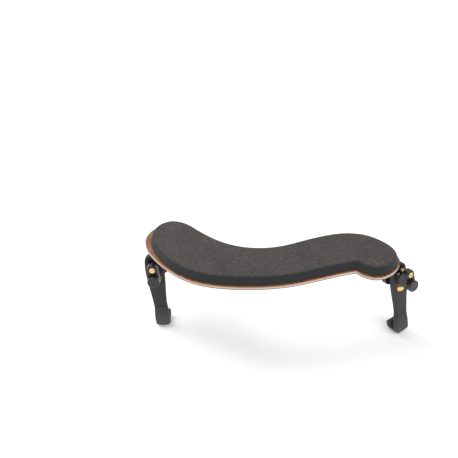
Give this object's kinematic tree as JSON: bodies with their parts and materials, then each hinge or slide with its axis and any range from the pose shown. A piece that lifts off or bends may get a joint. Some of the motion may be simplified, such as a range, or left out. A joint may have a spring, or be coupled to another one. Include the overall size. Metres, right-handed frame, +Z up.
{
  "type": "violin shoulder rest",
  "caption": "Shoulder rest for a violin: bent plywood plate with a foam pad on folding, height-adjustable legs that end in rubber claws.",
  "frame": {"origin": "on the ground plane, under the centre of the whole object's bounding box, with the rest standing on its two soles", "axes": "+X along the plate, from the left leg to the right leg as seen from the front; +Y towards the back edge; +Z up, away from the ground, with the pad on top"},
  "size_m": [0.2398, 0.0758, 0.0999],
  "materials": {
    "ply_edge": "satin",
    "dark_veneer": "satin",
    "varnished_veneer": "gloss",
    "pad_foam": "matte",
    "black_nylon": "satin",
    "leg_nylon": "matte",
    "knob_plastic": "satin",
    "claw_rubber": "matte",
    "brass": "polished",
    "steel": "satin"
  },
  "bodies": {
    "plate": {"core_ply": "ply_edge", "bottom_veneer": "dark_veneer", "top_veneer": "varnished_veneer", "foam_pad": "pad_foam"},
    "left_slide": {"left_slot_nut": "steel", "left_clamp_bolt": "steel", "left_bolt_washer": "steel"},
    "left_bracket": {"left_bracket": "black_nylon", "left_pivot_stud": "steel", "left_friction_washer": "steel"},
    "left_carrier": {"left_slider": "steel", "left_height_spindle": "brass", "left_carrier_block": "black_nylon", "left_lock_shoe": "steel"},
    "left_leg": {"left_leg_core": "leg_nylon", "left_claw_boot": "claw_rubber"},
    "left_wheel": {"left_height_wheel": "brass"},
    "left_knob": {"left_knob": "knob_plastic", "left_knob_insert": "brass", "left_knob_washer": "steel"},
    "left_lock_screw": {"left_lock_screw": "brass"},
    "right_slide": {"right_slot_nut": "steel", "right_clamp_bolt": "steel", "right_bolt_washer": "steel"},
    "right_bracket": {"right_bracket": "black_nylon", "right_pivot_stud": "steel", "right_friction_washer": "steel"},
    "right_carrier": {"right_slider": "steel", "right_height_spindle": "brass", "right_carrier_block": "black_nylon", "right_lock_shoe": "steel"},
    "right_leg": {"right_leg_core": "leg_nylon", "right_claw_boot": "claw_rubber"},
    "right_wheel": {"right_height_wheel": "brass"},
    "right_knob": {"right_knob": "knob_plastic", "right_knob_insert": "brass", "right_knob_washer": "steel"},
    "right_lock_screw": {"right_lock_screw": "brass"}
  },
  "joints": [
    {"name": "left_width_slide", "type": "slide", "parent": "plate", "child": "left_slide", "axis": [-0.9997, 0, 0.0262], "range_m": [-0.006, 0.006]},
    {"name": "left_swivel", "type": "hinge", "parent": "left_slide", "child": "left_bracket", "pos_m": [-0.09551, 0.01677, 0.08653], "axis": [0.0262, 0, 0.9997], "range_deg": [-90, 10]},
    {"name": "left_tilt", "type": "hinge", "parent": "left_bracket", "child": "left_carrier", "pos_m": [-0.1112, 0.00777, 0.06063], "axis": [0.005, -0.9816, 0.1907], "range_deg": [-27, 83]},
    {"name": "left_height_slide", "type": "slide", "parent": "left_carrier", "child": "left_leg", "axis": [-0.0963, 0.1894, 0.9772], "range_m": [-0.00658, 0.00102]},
    {"name": "left_wheel_spin", "type": "hinge", "parent": "left_leg", "child": "left_wheel", "pos_m": [-0.1104, 0.00863, 0.05193], "axis": [-0.0963, 0.1894, 0.9772], "range_deg": [-3388, 526]},
    {"name": "left_knob_spin", "type": "hinge", "parent": "left_bracket", "child": "left_knob", "pos_m": [-0.11113, -0.00572, 0.06326], "axis": [0.005, -0.9816, 0.1907], "range_deg": [-180, 180]},
    {"name": "left_lock_screw_turn", "type": "hinge", "parent": "left_carrier", "child": "left_lock_screw", "pos_m": [-0.11215, -0.00318, 0.07351], "axis": [0.005, -0.9816, 0.1907], "range_deg": [-90, 90]},
    {"name": "right_width_slide", "type": "slide", "parent": "plate", "child": "right_slide", "axis": [0.999, 0, 0.0436], "range_m": [-0.006, 0.006]},
    {"name": "right_swivel", "type": "hinge", "parent": "right_slide", "child": "right_bracket", "pos_m": [0.08669, -0.00323, 0.088], "axis": [-0.0436, 0, 0.999], "range_deg": [-40, 65]},
    {"name": "right_tilt", "type": "hinge", "parent": "right_bracket", "child": "right_carrier", "pos_m": [0.10525, -0.00184, 0.06248], "axis": [0.5612, -0.7992, 0.2155], "range_deg": [-90.5, 19.5]},
    {"name": "right_height_slide", "type": "slide", "parent": "right_carrier", "child": "right_leg", "axis": [-0.1606, 0.1503, 0.9755], "range_m": [-0.0048, 0.0028]},
    {"name": "right_wheel_spin", "type": "hinge", "parent": "right_leg", "child": "right_wheel", "pos_m": [0.10549, -0.00138, 0.05199], "axis": [-0.1606, 0.1503, 0.9755], "range_deg": [-2471, 1443]},
    {"name": "right_knob_spin", "type": "hinge", "parent": "right_bracket", "child": "right_knob", "pos_m": [0.11297, -0.01283, 0.06545], "axis": [0.5612, -0.7992, 0.2155], "range_deg": [-180, 180]},
    {"name": "right_lock_screw_turn", "type": "hinge", "parent": "right_carrier", "child": "right_lock_screw", "pos_m": [0.11096, -0.0108, 0.07567], "axis": [0.5612, -0.7992, 0.2155], "range_deg": [-90, 90]}
  ],
  "couplings": [
    {"joint": "left_wheel_spin", "follows": "left_height_slide", "rad_per_m": 8976},
    {"joint": "right_wheel_spin", "follows": "right_height_slide", "rad_per_m": 8976}
  ]
}
